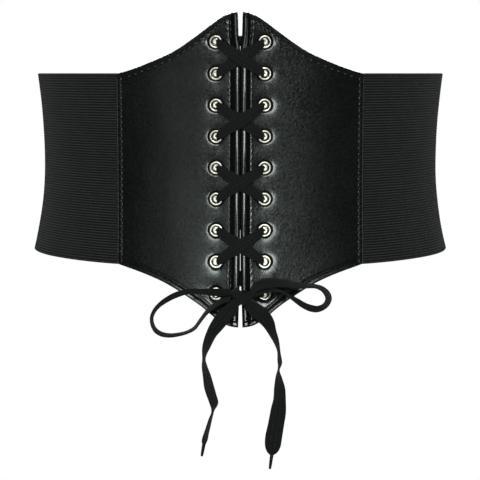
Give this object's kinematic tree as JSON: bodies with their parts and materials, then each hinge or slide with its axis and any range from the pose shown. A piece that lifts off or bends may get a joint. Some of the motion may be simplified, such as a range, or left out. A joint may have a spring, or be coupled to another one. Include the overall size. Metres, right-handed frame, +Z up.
{
  "type": "elastic waist belt",
  "caption": "Wide elastic waist belt with shaped leather-look front panels, metal eyelets and flat crossed lacing tied in a bow.",
  "frame": {"origin": "middle of the waist loop, at the height where the belt is narrowest", "axes": "+Z up the wearer's body, front and lacing at -Y, wearer's left hand side at +X"},
  "size_m": [0.2854, 0.219, 0.2876],
  "materials": {
    "leather": "smooth black, soft sheen, fine grain",
    "elastic": "black ribbed elastic webbing, matte",
    "lace": "flat woven black lace, matte",
    "eyelet_metal": "polished nickel",
    "tip": "black, slightly glossy"
  },
  "bodies": {
    "root": {"panel_left": "leather", "panel_right": "leather", "elastic_left": "elastic", "elastic_right": "elastic", "back_closure": "leather", "eyelet_left_1": "eyelet_metal", "eyelet_left_2": "eyelet_metal", "eyelet_left_3": "eyelet_metal", "eyelet_left_4": "eyelet_metal", "eyelet_left_5": "eyelet_metal", "eyelet_left_6": "eyelet_metal", "eyelet_left_7": "eyelet_metal", "eyelet_left_8": "eyelet_metal", "eyelet_left_9": "eyelet_metal", "eyelet_right_1": "eyelet_metal", "eyelet_right_2": "eyelet_metal", "eyelet_right_3": "eyelet_metal", "eyelet_right_4": "eyelet_metal", "eyelet_right_5": "eyelet_metal", "eyelet_right_6": "eyelet_metal", "eyelet_right_7": "eyelet_metal", "eyelet_right_8": "eyelet_metal", "eyelet_right_9": "eyelet_metal", "lacing": "lace", "bow_knot": "lace", "bow_loop_left": "lace", "bow_loop_right": "lace", "bow_tail_left": "lace", "bow_tail_right": "lace", "lace_tip_left": "tip", "lace_tip_right": "tip"}
  },
  "joints": []
}
